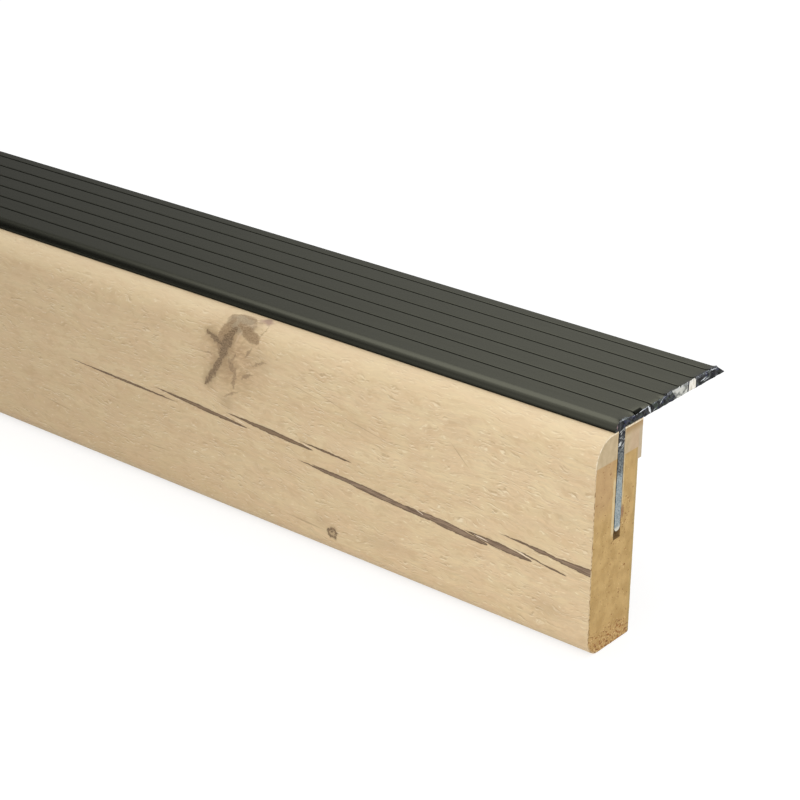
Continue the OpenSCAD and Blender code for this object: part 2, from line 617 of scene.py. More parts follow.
# %% [markdown]
# The saw has torn the flange's end. In the photograph its upper edge waves up and down by up to
# half a millimetre, with one deeper dip at the first groove. The dip and the burrs are given at a
# few depths and run out over the last millimetre of the length. Below the flange the cut is cleaner.

# %% Burred end of the profile
BURR_DEPTHS = [7, 9, 11, 12.5, 14.5, 16, 18, 20, 26, 27.5, 30, 31.5, 40, 41.5, 49.6, 53.4]
BURR_LIFTS = [0, 0.1, 0.1, -0.25, -0.5, -0.75, -0.3, -0.15, -0.2, 0.4, 0.4, 0.2, 0.2, 0.45, 0.4, 0]
BURR_REACH = 1.3
BURR_WAVE = 0.25
RUFFLES = (0.16, 0.1)
RUFFLE_REACH = 0.5
BACK_RUN_OUT = 3.0
FRONT_RUN_OUT = 2.0


def torn(corners):
    """Bend of the flange's ends: lifts or drops the upper edge and pushes the cut in and out.

    The lift is the one listed plus a fine wave. It grows with the height in the flange and runs
    out along X and towards both edges. The cut's ruffle is noise of two sizes.
    """
    x, y, z = corners.T
    away = half_length - np.abs(x)
    near = np.clip(1 - away / BURR_REACH, 0, 1) ** 2
    share = np.clip((z - wood_h) / flange_t, 0, 1)
    depth = np.where(x > 0, y, flange_front + flange_back - y)
    lift = np.interp(depth, BURR_DEPTHS, BURR_LIFTS)
    lift = lift + BURR_WAVE * (uneven(y, z * 0, 0.8, 21) - 0.5) * (y > flange_front + 1)
    lift = lift * np.clip((flange_back - y) / BACK_RUN_OUT, 0, 1)
    lift = lift * np.clip((y - flange_front) / FRONT_RUN_OUT, 0, 1)
    broad = RUFFLES[0] * (uneven(y, z, 1.4, 23) - 0.5)
    ruffle = broad + RUFFLES[1] * (uneven(y, z, 0.6, 27) - 0.5)
    ruffle = ruffle * np.clip(1 - away / RUFFLE_REACH, 0, 1)
    return np.column_stack([x + np.sign(x) * ruffle, y, z + lift * near * share])


profile = carry(
    "aluminium_nosing_profile",
    section(
        patch(under_flange, over_flange, rows=9),
        patch(leg_tip, level(leg_depths, wood_h), rows=70),
    ),
    torn,
)
stand_for(profile, "aluminium_profile")

# %% [markdown]
# ## Writing materials as sums
#
# A finish is worked out from the place on the piece. To keep that readable, a small class holds
# one output of a node and lets Python's own signs add the Math nodes. Every other node comes from
# its one method `node`.


# %% Wires
class Wire:
    """An output of a shader node. Arithmetic on wires and numbers adds Math nodes."""

    def __init__(self, tree, socket=None):
        self.tree = tree
        self.socket = socket

    def node(self, kind, settings=None, inputs=None, output=0):
        """Adds a node: first its settings, then the values or wires of its inputs."""
        made = self.tree.nodes.new(kind)
        for name, setting in (settings or {}).items():
            setattr(made, name, setting)
        for name, value in (inputs or {}).items():
            if isinstance(value, Wire):
                self.tree.links.new(value.socket, made.inputs[name])
            else:
                made.inputs[name].default_value = value
        return Wire(self.tree, made.outputs[output] if len(made.outputs) else None)

    def other(self, output):
        """Another output of the same node."""
        return Wire(self.tree, self.socket.node.outputs[output])

    def math(self, operation, *values):
        """One Math node."""
        return self.node("ShaderNodeMath", {"operation": operation}, dict(enumerate(values)))

    def __add__(self, value):
        return self.math("ADD", self, value)

    def __sub__(self, value):
        return self.math("SUBTRACT", self, value)

    def __rsub__(self, value):
        return self.math("SUBTRACT", value, self)

    def __mul__(self, value):
        return self.math("MULTIPLY", self, value)

    def __pow__(self, value):
        return self.math("POWER", self, value)

    def __abs__(self):
        return self.math("ABSOLUTE", self)

    __radd__ = __add__
    __rmul__ = __mul__


def larger(first, second):
    """The larger of two values."""
    return first.math("MAXIMUM", first, second)


def rise(value, start, end):
    """0 up to start, 1 from end on, and a smooth rise between them."""
    settings = {"interpolation_type": "SMOOTHSTEP"}
    return value.node("ShaderNodeMapRange", settings, {0: value, 1: start, 2: end})


def ramp(value, start, end):
    """0 at start, 1 at end, even between them and level beyond."""
    return value.node("ShaderNodeMapRange", {}, {0: value, 1: start, 2: end})


def between(value, start, end, soft):
    """1 from start to end, falling to 0 over soft on both sides."""
    return rise(value, start - soft, start) * (1 - rise(value, end, end + soft))


def blend(share, first, second):
    """Colour that goes from the first to the second as share goes from 0 to 1."""
    inputs = {0: share, 6: first, 7: second}
    return share.node("ShaderNodeMix", {"data_type": "RGBA"}, inputs, output=2)


def shade(colour, factor):
    """Colour made lighter or darker by a factor around 1."""
    grey = factor.node("ShaderNodeCombineColor", {}, {0: factor, 1: factor, 2: factor})
    settings = {"data_type": "RGBA", "blend_type": "MULTIPLY"}
    return factor.node("ShaderNodeMix", settings, {0: 1.0, 6: colour, 7: grey}, output=2)


def tone(red, green, blue):
    """Colour as seen on a screen, 0 to 255, turned into the linear values that shaders use."""
    values = [channel / 255 for channel in (red, green, blue)]
    linear = [v / 12.92 if v <= 0.04045 else ((v + 0.055) / 1.055) ** 2.4 for v in values]
    return (*linear, 1.0)


print("oak in linear values:", *(round(v, 3) for v in tone(222, 199, 162)[:3]))

# %% [markdown]
# Every finish starts from the place on the piece in millimetres: along the nosing, in depth from
# the decor face and in height. Noise is stretched by dividing the place by the size that its
# patches should have along each axis.


# %% Places and noise
def empty_tree(owner):
    """Clears the nodes of a new material or world. Gives a wire to start from."""
    owner.use_nodes = True
    owner.node_tree.nodes.clear()
    return Wire(owner.node_tree)


def scaled(place, factors, shift):
    """A place with each part multiplied by its factor, then shifted."""
    inputs = {0: place, 1: factors, 2: shift}
    return place.node("ShaderNodeVectorMath", {"operation": "MULTIPLY_ADD"}, inputs)


def begin(name):
    """New material with an empty tree. Gives the material and the place in millimetres."""
    material = bpy.data.materials.new(name)
    place = empty_tree(material).node("ShaderNodeTexCoord", output="Object")
    return material, scaled(place, (1 / MM,) * 3, (0, -decor_face, 0))


def parts_of(place):
    """The three parts of a place: along, depth and height."""
    along = place.node("ShaderNodeSeparateXYZ", {}, {0: place})
    return along, along.other(1), along.other(2)


def joined(first, second, third=0.0):
    """Place made of parts. Without a third one it lies on a plane."""
    return first.node("ShaderNodeCombineXYZ", {}, {0: first, 1: second, 2: third})


def cloud(place, size, shift=0.0, detail=2.0, rough=0.5):
    """Noise around 0.5 whose patches measure about size, in millimetres along each axis."""
    stretched = scaled(place, tuple(1 / s for s in size), (shift, shift, shift))
    inputs = {"Vector": stretched, "Scale": 1.0, "Detail": detail, "Roughness": rough}
    return place.node("ShaderNodeTexNoise", {"noise_dimensions": "3D"}, inputs)


def finish(material, place, colour, roughness, metallic, height, relief, edge_tint=1.0):
    """Closes a material with its shader. relief is the depth of the bump in millimetres."""
    bump = {"Height": height, "Distance": relief * MM}
    inputs = {
        "Base Color": colour,
        "Roughness": roughness,
        "Metallic": metallic,
        "Specular Tint": (edge_tint, edge_tint, edge_tint, 1),
        "Normal": place.node("ShaderNodeBump", {}, bump),
    }
    shader = place.node("ShaderNodeBsdfPrincipled", {}, inputs)
    place.node("ShaderNodeOutputMaterial", {}, {"Surface": shader})
    print(f"{material.name}: {len(material.node_tree.nodes)} nodes")
    return material


# %% [markdown]
# ## Anodised aluminium
#
# The visible skin of the extrusion is satin anodised in a dark olive grey. It is metal, so its
# colour is the colour of its reflections, and the dyed layer keeps them dark even at a flat angle.
# The die leaves faint streaks along the whole length, and the etch before anodising leaves a fine
# grain. Painted shade darkens the grooves and the lowest part of the rounded nose, where it meets
# the wood, and the wall of the dip that the saw tore at the first groove of each end.


# %% Anodised skin
DYED_EDGE_TINT = 0.6
# Depths of the dip at the first groove where shade is painted near each end
NICK_SHADE = (15.3, 17.9)


def groove_middle(depth, height):
    """1 in the middle of each groove and 0 on the land between them."""
    from_first = (depth - (GROOVE_FIRST - GROOVE_PITCH / 2)) * (1 / GROOVE_PITCH)
    share = from_first.math("FRACT", from_first)
    away = abs(share - 0.5) * GROOVE_PITCH
    first = rise(depth, GROOVE_FIRST - 1, GROOVE_FIRST - 0.9)
    return (1 - rise(away, 0.12, 0.4)) * first * rise(height, flange_top - 1, flange_top - 0.9)


def anodised_skin():
    """Dark olive satin metal: die lines, fine grain, painted shade in grooves, low on the nose and
    at the ends.
    """
    material, place = begin("anodised_skin")
    along, depth, height = parts_of(place)
    die_lines = cloud(place, (180, 0.22, 0.22), detail=3)
    bands = cloud(place, (400, 3.0, 3.0), shift=7)
    grain = cloud(place, (0.5, 0.18, 0.18), shift=3, detail=3, rough=0.7)
    mottle = cloud(place, (9, 2.2, 2.2), shift=11)
    # groove marks the grooves; its darkening of the colour below is painted shade
    groove = groove_middle(depth, height)
    # Painted shade on the lowest part of the rounded nose, next to the wood
    seam_shade = (1 - rise(height, wood_h + 0.2, wood_h + 1.2)) * (1 - rise(depth, 8.6, 9.6))
    # Painted shade on the wall of the dip at the first groove, near each end
    nick_shade = between(depth, *NICK_SHADE, 0.5) * rise(abs(along), half_length - 1.1, half_length - 0.7)
    lightness = 0.82 + die_lines * 0.14 + bands * 0.1 + mottle * 0.08 + grain * 0.05
    lightness = lightness * (1 - groove * 0.9) * (1 - seam_shade * 0.85) * (1 - nick_shade * 0.9)
    colour = shade(tone(84, 84, 74), lightness)
    roughness = 0.18 + die_lines * 0.06 + grain * 0.08 + groove * 0.25
    relief = die_lines * 0.35 + grain * 0.65
    return finish(material, place, colour, roughness, 1.0, relief, 0.003, DYED_EDGE_TINT)


anodised = anodised_skin()

# %% [markdown]
# ## Marks on a flat place
#
# Torn facets, cracks and knots all have a definite place. Two shapes draw them: a lens that tapers
# from one point to another, and an ellipse. A lens tells how deep inside it a place lies, so one
# value gives both its soft edge and the different tone of its middle.


# %% Lenses and ellipses
def measured(flat, start, axis):
    """Dot product of an axis with the way from start to the place."""
    settings = {"operation": "DOT_PRODUCT"}
    whole = flat.node("ShaderNodeVectorMath", settings, {0: flat, 1: (*axis, 0)}, output="Value")
    return whole - (start[0] * axis[0] + start[1] * axis[1])


def lens(flat, start, end, width, lead=0.5, trail=0.5):
    """Millimetres inside a mark that opens over its first half and closes over its second.

    Half its width is width / 2 (2 t) ^ lead and then width / 2 (2 - 2 t) ^ trail, with t from 0 at
    the start to 1 at the end. Beyond both ends the distance counts against it.
    """
    (x0, s0), (x1, s1) = start, end
    length = hypot(x1 - x0, s1 - s0)
    t = measured(flat, start, ((x1 - x0) / length**2, (s1 - s0) / length**2))
    across = measured(flat, start, ((s0 - s1) / length, (x1 - x0) / length))
    opening = ramp(t, 0, 0.5) ** lead
    closing = ramp(t, 1, 0.5) ** trail
    beyond = larger(abs(t - 0.5) - 0.5, 0.0) * length
    return opening * closing * (width / 2) - abs(across) - beyond


def deepest(flat, marks, **how):
    """How far inside the nearest of many lenses a place lies."""
    inside = lens(flat, *marks[0], **how)
    for mark in marks[1:]:
        inside = larger(inside, lens(flat, *mark, **how))
    return inside


def from_middle(flat, middle, radii):
    """Distance from the middle of an ellipse, with 1 on its edge."""
    (x, s), (a, b) = middle, radii
    seen = scaled(flat, (1 / a, 1 / b, 0), (-x / a, -s / b, 0))
    return seen.node("ShaderNodeVectorMath", {"operation": "LENGTH"}, {0: seen}, output="Value")


def ellipse(flat, middle, radii, soft):
    """1 inside an ellipse, falling to 0 at its edge over a share soft of its radius."""
    return 1 - rise(from_middle(flat, middle, radii), 1 - soft, 1.0)


# %% [markdown]
# ## Sawn aluminium
#
# The ends are bare. The saw has torn the flange into facets, and their reflections are painted into
# the colour: most facets are painted mirror dark, some navy, some green, and a few get painted white
# highlights. The largest painted highlights are placed as the photograph shows them, in depth and
# height, and the far end has them the other way round. The leg is a duller blue grey, scratched and
# darker near its root.


# %% Sawn ends of the profile
# Painted highlights on the cut: start, end and width of each lens, in depth and height
LIP_FLASH = ((13.6, 57.75), (20.3, 58.1), 0.34)
SLIVER_HIGHLIGHT = ((20.3, 58.6), (21.7, 56.0), 0.62)
SMALL_FLASHES = [
    ((25.2, 57.1), (27.0, 58.2), 0.3),
    ((42.8, 57.0), (45.6, 57.3), 0.4),
    ((44.2, 56.6), (47.0, 56.9), 0.25),
    ((46.6, 58.5), (50.0, 58.1), 0.3),
    ((22.3, 56.3), (24.0, 56.7), 0.2),
    ((9.0, 58.3), (11.2, 58.2), 0.22),
]
GREY_REFLECTION = (32.4, 37.0)
WHITE_REFLECTION = (37.8, 40.5)
NOSE_FLASH = ((7.5, 56.3), (8.0, 58.0), 0.4)


def torn_flange(place, along, depth, height, ragged, fine):
    """Cut of the flange, painted with reflections: dark facets, grey and white bands, highlights, a
    rim.
    """
    right = rise(along, -1, 1)
    seen_depth = depth * right + (flange_front + flange_back - depth) * (1 - right)
    flat = joined(seen_depth + ragged * 0.9, height + ragged * 0.5)
    # Painted reflections: the facets are painted mirror dark, navy or green, with fine painted
    # glints
    facets = cloud(joined(depth + height * 0.9, height, along), (1.0, 1.6, 3.0), shift=5)
    under_top = 1 - rise(height, 57.2, 58.0)
    greenish = between(seen_depth, 21.5, 33.0, 1.0) + rise(seen_depth, 41, 43) * under_top
    hue = rise(cloud(place, (2, 3.2, 2), shift=15) + greenish * 0.12, 0.48, 0.58)
    tinted = blend(hue, tone(44, 46, 76), tone(60, 70, 58))
    flange = blend(rise(facets, 0.46, 0.7), tone(12, 13, 16), tinted)
    flange = blend(rise(fine, 0.6, 0.7) * 0.7, flange, tone(140, 146, 150))

    # Painted reflection: a grey band that leans across the flange
    grey_start, grey_end = GREY_REFLECTION
    lean = seen_depth + ragged * 0.5 + (height - wood_h) * 0.9
    grey = rise(lean, grey_start, grey_start + 0.4)
    grey = grey * (1 - rise(seen_depth, grey_end, grey_end + 0.2))
    mottle = cloud(place, (2, 2.2, 1.4), shift=17, detail=3)
    grey_reflection_tone = blend(rise(mottle, 0.38, 0.56), tone(128, 130, 124), tone(212, 212, 204))
    flange = blend(grey * 0.92, flange, grey_reflection_tone)
    # Painted highlights: the listed flashes, a white band and a bright line along the top
    flashes = rise(deepest(flat, [LIP_FLASH, SLIVER_HIGHLIGHT] + SMALL_FLASHES), 0.0, 0.08)
    flash_tone = blend(rise(fine, 0.35, 0.6), tone(176, 184, 190), tone(240, 242, 244))
    flange = blend(flashes, flange, flash_tone)
    white = between(seen_depth + ragged * 0.4, *WHITE_REFLECTION, 0.12)
    stripes = cloud(place, (2, 0.35, 3), shift=23)
    white_reflection_tone = blend(rise(stripes, 0.36, 0.6), tone(206, 200, 184), tone(244, 240, 230))
    flange = blend(white, flange, white_reflection_tone)
    rim_highlight = between(height, flange_top - 0.4, flange_top + 0.4, 0.1) * rise(fine, 0.5, 0.6)
    flange = blend(rim_highlight * 0.6, flange, tone(190, 196, 204))
    # Painted reflection: a pinkish flash on the cut of the nose
    pinkish = rise(lens(flat, *NOSE_FLASH), 0.0, 0.12)
    return blend(pinkish * 0.7, flange, tone(168, 140, 140)), facets


def sawn_leg(along, depth, height, ragged, fine):
    """Cut of the leg: blue grey below, darker above, scratched at the root, pale at the tip."""
    scratch = cloud(joined(height - depth * 0.5, depth, along), (0.26, 1.4, 3), shift=4)
    leg = blend(rise(fine, 0.36, 0.62), tone(116, 130, 134), tone(168, 176, 176))
    upper_leg = blend(rise(fine, 0.42, 0.6), tone(48, 52, 57), tone(138, 144, 142))
    leg = blend(rise(height + ragged * 3, 43, 46), leg, upper_leg)
    root = blend(rise(scratch, 0.56, 0.62), tone(38, 40, 44), tone(204, 207, 204))
    leg = blend(rise(height + ragged * 2, 50.5, 51.5), leg, root)
    return blend(1 - rise(height, leg_foot + 0.7, leg_foot + 1.4), leg, tone(206, 203, 188))


def sawn_metal():
    """Bare torn metal of the sawn ends: flange above, leg below."""
    material, place = begin("sawn_metal")
    along, depth, height = parts_of(place)
    ragged = cloud(place, (0.9, 0.9, 0.7), shift=2, detail=3) - 0.5
    fine = cloud(place, (0.3, 0.3, 0.3), shift=9, detail=3, rough=0.7)
    flange, facets = torn_flange(place, along, depth, height, ragged, fine)
    leg = sawn_leg(along, depth, height, ragged, fine)
    colour = blend(rise(height, wood_h - 0.5, wood_h + 0.3), leg, flange)
    relief = facets * 0.5 + fine * 0.5
    return finish(material, place, colour, 0.26 + fine * 0.3, 1.0, relief, 0.08)


sawn_aluminium = sawn_metal()

# %% [markdown]
# ## Printed oak
#
# The sheet is a print of rustic oak. The grain runs on without a repeat. On top of it lie the
# marks that make it rustic: chains of thin dark drying cracks, one large ragged knot and small
# round ones. Each has its place on the flat sheet: how far it lies from the right end, and how far
# up the sheet. They fill a third of the length. The next third shows them turned round, left for
# right and top for bottom, so that neighbouring thirds don't look alike.

# %% Marks of the print
PRINT_REPEAT = 2 * half_length / 3
PRINT_SHOWN_END = 28.0
PRINT_TURN_HEIGHT = 58.0

# Each crack: start and end (place along, from the right end, and height up the sheet), width
CRACKS = [
    ((-175.0, 28.1), (-134.5, 27.0), 0.75),
    ((-142.5, 29.1), (-108.3, 27.1), 1.2),
    ((-115.6, 29.4), (-85.5, 27.75), 1.45),
    ((-90.2, 29.1), (-72.6, 28.3), 0.7),
    ((-90.6, 23.6), (-70.0, 22.4), 0.85),
    ((-86.0, 23.8), (-47.0, 20.9), 1.75),
    ((-56.0, 22.2), (-29.8, 20.1), 2.1),
    ((-37.0, 21.75), (-16.7, 20.2), 1.8),
    ((-22.0, 21.85), (-12.5, 20.45), 0.5),
    ((-13.8, 20.6), (-6.7, 19.85), 0.65),
    ((-26.5, 24.4), (-13.5, 23.95), 0.6),
    ((-20.5, 24.2), (-9.3, 23.35), 1.2),
    ((-15.0, 23.5), (13.0, 22.3), 2.0),
    ((-381.0, 37.0), (-344.0, 36.2), 0.8),
    ((-352.0, 37.6), (-318.0, 36.4), 1.3),
    ((-326.0, 35.2), (-281.0, 33.4), 1.6),
    ((-292.0, 12.2), (-251.0, 13.4), 1.1),
    ((-258.0, 14.6), (-228.0, 14.2), 0.7),
]

# Pale splinters that lie between two overlapping cracks
SPLINTERS = [
    ((-52.0, 22.35), (-49.5, 21.45), 0.42),
    ((-34.5, 21.65), (-29.4, 20.95), 0.44),
    ((-21.6, 21.7), (-16.9, 20.7), 0.5),
    ((-89.3, 28.65), (-85.6, 28.1), 0.36),
    ((-112.5, 28.6), (-108.4, 27.8), 0.36),
]

# Arms of the large knot, and the finer strokes about it
KNOT_ARMS = [
    ((-122.9, 35.4), (-117.4, 43.4), 2.1),
    ((-120.2, 39.4), (-114.0, 49.0), 1.8),
    ((-117.0, 44.2), (-112.2, 54.4), 3.2),
    ((-121.9, 50.8), (-115.4, 47.8), 1.9),
]
KNOT_STROKES = [
    ((-117.8, 45.6), (-114.2, 56.6), 3.6),
    ((-114.4, 45.2), (-111.8, 40.4), 1.8),
    ((-111.7, 43.4), (-113.3, 36.6), 1.7),
    ((-108.6, 46.6), (-105.9, 50.3), 1.1),
    ((-106.4, 45.2), (-100.9, 47.5), 0.8),
    ((-110.2, 40.6), (-105.4, 42.8), 1.2),
    ((-113.8, 43.8), (-111.4, 47.6), 1.1),
    ((-116.4, 33.8), (-110.8, 36.6), 0.8),
    ((-103.1, 57.6), (-104.4, 51.6), 0.6),
    ((-115.0, 58.0), (-105.2, 57.3), 0.7),
    ((-124.4, 44.2), (-119.4, 45.0), 0.7),
]

# Darker lines of the grain
GRAIN_LINES = [
    ((-97.0, 44.6), (-80.5, 42.0), 0.5),
    ((-84.0, 44.2), (-74.0, 41.6), 0.5),
    ((-78.0, 40.4), (-60.0, 37.4), 0.6),
    ((-96.0, 7.0), (-81.0, 6.4), 0.8),
    ((-42.0, 44.0), (-35.5, 38.0), 0.6),
    ((-191.0, 13.5), (-172.0, 11.6), 0.6),
    ((-203.0, 39.4), (-186.0, 38.2), 0.5),
    ((-136.0, 11.6), (-147.0, 11.2), 0.6),
]

# Brown smudges: middle and radii
SMUDGES = [
    ((-192.0, 19.5), (4.5, 2.6)),
    ((-12.0, 9.5), (9.0, 4.0)),
    ((-62.0, 9.0), (14.0, 3.4)),
    ((-81.5, 8.6), (6.0, 2.6)),
]

# The large knot: its cap with two gaps, a dark flank, a reddish bud and the halo about it all
CAP = ((-111.6, 55.0), (5.0, 3.6))
CAP_GAPS = [((-110.8, 54.4), (-105.6, 57.2), 1.0), ((-111.7, 49.2), (-110.3, 54.2), 1.1)]
FLANK = ((-112.4, 55.3), (-103.9, 51.8), 3.8)
BUD = ((-105.1, 58.5), (2.9, 1.9))
HALO = ((-113.5, 45.5), (15.0, 15.5))

# Smoky places about the knot: middle, radii and strength
SMOKES = [
    ((-115.5, 32.4), (4.4, 3.2), 0.4),
    ((-114.9, 42.0), (3.4, 5.6), 0.4),
    ((-108.0, 55.6), (5.4, 4.0), 0.4),
    ((-103.0, 46.8), (6.4, 4.8), 0.2),
]

# The small round knots
ROUND_KNOT = (-79.1, 6.6)
ROUND_KNOT_RADII = (1.55, 1.45)
FAR_KNOT = (-301.0, 46.0)

print(f"{len(CRACKS)} cracks and {len(KNOT_STROKES)} strokes, every {PRINT_REPEAT:.1f} mm")


# %% Plain oak grain
PORE_SIZE = (3.4, 0.5, 1)
FLECK_SIZE = (3.0, 0.55, 1)


def oak_grain(from_end, sheet):
    """Colour and relief of plain oak: bands, wavy streaks, fibres, embossed pores, pale flecks.

    The streaks follow the height up the sheet plus a slow wave, so that they bow gently. A pore is
    a short dark stroke. The same noise a little higher up paints a highlight on its lower lip.
    Painted shade darkens the print slowly along the length, and painted light brightens the nose.
    """
    free = joined(from_end, sheet)
    wave = (cloud(free, (48, 20, 1), shift=31) - 0.5) * 9
    wave = wave + (cloud(free, (6, 3, 1), shift=33) - 0.5) * 2.6
    grain_place = joined(from_end, sheet + wave)
    lip_place = joined(from_end, sheet + wave + 0.3)
    bands = cloud(grain_place, (95, 7, 1), shift=1, detail=3)
    streaks = cloud(grain_place, (11, 0.8, 1), shift=5, detail=3, rough=0.6)
    fibres = cloud(grain_place, (3.8, 0.5, 1), shift=9, detail=3, rough=0.7)
    patches = cloud(grain_place, (5, 2.2, 1), shift=17, detail=3, rough=0.65)
    crowded = rise(cloud(free, (11, 7, 1), shift=41, detail=3), 0.42, 0.6) * 0.8 + 0.2
    pores = rise(cloud(grain_place, PORE_SIZE, shift=13, rough=0.7), 0.56, 0.66) * crowded
    lip_highlights = rise(cloud(lip_place, PORE_SIZE, shift=13, rough=0.7), 0.56, 0.66) * crowded
    flecks = rise(cloud(grain_place, FLECK_SIZE, shift=61, rough=0.7), 0.62, 0.7)
    warm = rise(cloud(free, (9, 4, 1), shift=51, detail=3), 0.4, 0.6)
    turn = from_end * (2 * pi / PRINT_REPEAT)
    shade_drift = turn.math("COSINE", turn)

    colour = blend(rise(bands, 0.3, 0.7), tone(229, 206, 165), tone(221, 196, 154))
    colour = blend(warm * 0.5, colour, tone(222, 192, 154))
    colour = blend(rise(patches, 0.46, 0.66) * 0.4, colour, tone(206, 174, 132))
    colour = shade(colour, 0.76 + streaks * 0.26 + fibres * 0.26)
    # Painted highlights on the pores' lower lips, sharing a tone with the print's pale flecks
    colour = blend(larger(lip_highlights, flecks) * (1 - pores) * 0.55, colour, tone(252, 238, 208))
    colour = blend(pores * 0.44, colour, tone(168, 136, 96))
    # Painted shade: a slow wave along the length darkens and browns the print, one period each third
    colour = shade(colour, shade_drift * 0.1 + 0.9)
    colour = blend((1 - shade_drift) * 0.08, colour, tone(186, 152, 104))
    # Painted light: the print is paler up on the rounded nose
    colour = blend(rise(sheet, 49, 56) * 0.35, colour, tone(234, 213, 176))
    return colour, fibres * 0.3 + streaks * 0.2 - pores * 0.3


# %% Knots
def small_knot(flat, middle, ragged):
    """A small round knot: a dark broken ring in a soft brown disc."""
    away = from_middle(flat, middle, ROUND_KNOT_RADII)
    ring = between(away, 0.6, 0.95, 0.22) * rise(ragged, 0.34, 0.5)
    mark = (1 - rise(away, 0.3, 0.6)) * rise(ragged, 0.46, 0.56)
    disc = 1 - rise(away, 0.8, 1.5)
    return larger(larger(ring, mark) * 0.95, disc * 0.4)


def with_halo(colour, flat, repeat, sheet):
    """Paints what lies about the large knot: its brown halo, drifting smoke and smoky places."""
    turned = joined(repeat + sheet * 1.6, sheet - repeat * 0.5)
    smoke = rise(cloud(turned, (4.0, 1.2, 1), shift=38, detail=3, rough=0.65), 0.36, 0.6)
    halo = ellipse(flat, *HALO, soft=0.9)
    colour = blend(halo * 0.34, colour, tone(176, 138, 98))
    colour = blend(halo * smoke * 0.5, colour, tone(156, 124, 86))
    for middle, radii, strength in SMOKES:
        patch_of_smoke = ellipse(flat, middle, radii, soft=0.9) * strength
        colour = blend(patch_of_smoke, colour, tone(160, 134, 98))
    return colour


def with_cap(colour, flat, sheet, speckle, dull):
    """Paints the cap over the large knot: a grey disc with a brim, gaps, a flank and a bud."""
    away = from_middle(flat, *CAP)
    cap_height = CAP[0][1]
    grey = blend(speckle, tone(142, 124, 98), tone(168, 149, 121))
    above = rise(sheet, cap_height - 3.4, cap_height - 1.4)
    colour = blend((1 - rise(away, 0.72, 1.05)) * above * 0.8, colour, grey)
    brim = between(away, 0.84, 0.94, 0.12) * rise(sheet, cap_height - 0.6, cap_height + 1.6)
    colour = blend(brim * 0.5, colour, dull)
    flank = rise(lens(flat, *FLANK, lead=0.5, trail=0.2), -0.2, 0.7)
    colour = blend(flank * 0.85, colour, dull)
    gaps = rise(deepest(flat, CAP_GAPS), -0.1, 0.4)
    colour = blend(gaps * 0.6, colour, tone(204, 178, 146))
    return blend(ellipse(flat, *BUD, soft=0.7) * 0.85, colour, tone(162, 132, 114))


def with_knots(colour, repeat, sheet):
    """Paints the large knot, with its strokes and arms, and the small round ones."""
    free = joined(repeat, sheet)
    ragged = cloud(free, (1.3, 1.3, 1), shift=8, detail=4, rough=0.7)
    speckle = rise(cloud(free, (0.6, 0.36, 1), shift=48, rough=0.7), 0.36, 0.66)
    sideways = cloud(free, (1.8, 1.8, 1), shift=18, detail=3, rough=0.65) - 0.5
    upwards = cloud(free, (1.8, 1.8, 1), shift=28, detail=3, rough=0.65) - 0.5
    flat = joined(repeat + sideways * 2.6, sheet + upwards * 2.6)
    dark = blend(speckle, tone(98, 76, 50), tone(142, 117, 86))
    dull = blend(speckle, tone(134, 108, 76), tone(164, 138, 104))
    arms = deepest(flat, KNOT_ARMS, lead=0.22, trail=0.35)
    strokes = deepest(flat, KNOT_STROKES)

    colour = with_halo(colour, flat, repeat, sheet)
    colour = blend(rise(arms, -2.2, 0.4) * 0.5, colour, tone(150, 126, 90))
    colour = with_cap(colour, flat, sheet, speckle, dull)
    colour = blend(rise(strokes, -0.15, 0.4) * (0.45 + ragged * 0.6), colour, dull)
    colour = blend(rise(arms, -0.2, 0.4) * 0.84, colour, dark)
    for middle in (ROUND_KNOT, FAR_KNOT):
        colour = blend(small_knot(flat, middle, ragged), colour, dark)
    return colour


# %% Cracks
def with_cracks(colour, repeat, sheet):
    """Paints the drying cracks: dark at their rims, a pinkish brown within, with pale splinters."""
    free = joined(repeat, sheet)
    fray = cloud(free, (1.8, 0.5, 1), shift=3, detail=3, rough=0.6) - 0.5
    flat = joined(repeat, sheet + fray * 0.6)
    streaks = cloud(free, (5, 0.35, 1), shift=12, detail=3, rough=0.65)
    inside = deepest(flat, CRACKS, lead=0.8, trail=0.4)
    fill = blend(rise(streaks, 0.38, 0.6), tone(108, 84, 64), tone(146, 122, 98))
    fill = blend(rise(sheet, 24.5, 26.5) * 0.6, fill, tone(112, 86, 52))
    rim = blend(rise(inside, 0.14, 0.36), tone(84, 60, 36), fill)
    colour = blend(rise(inside, -0.6, 0.1) * 0.14, colour, tone(178, 146, 112))
    colour = blend(rise(inside, -0.05, 0.09) * 0.95, colour, rim)
    pale = rise(deepest(flat, SPLINTERS), 0.0, 0.1)
    return blend(pale * 0.9, colour, tone(238, 219, 194)), inside


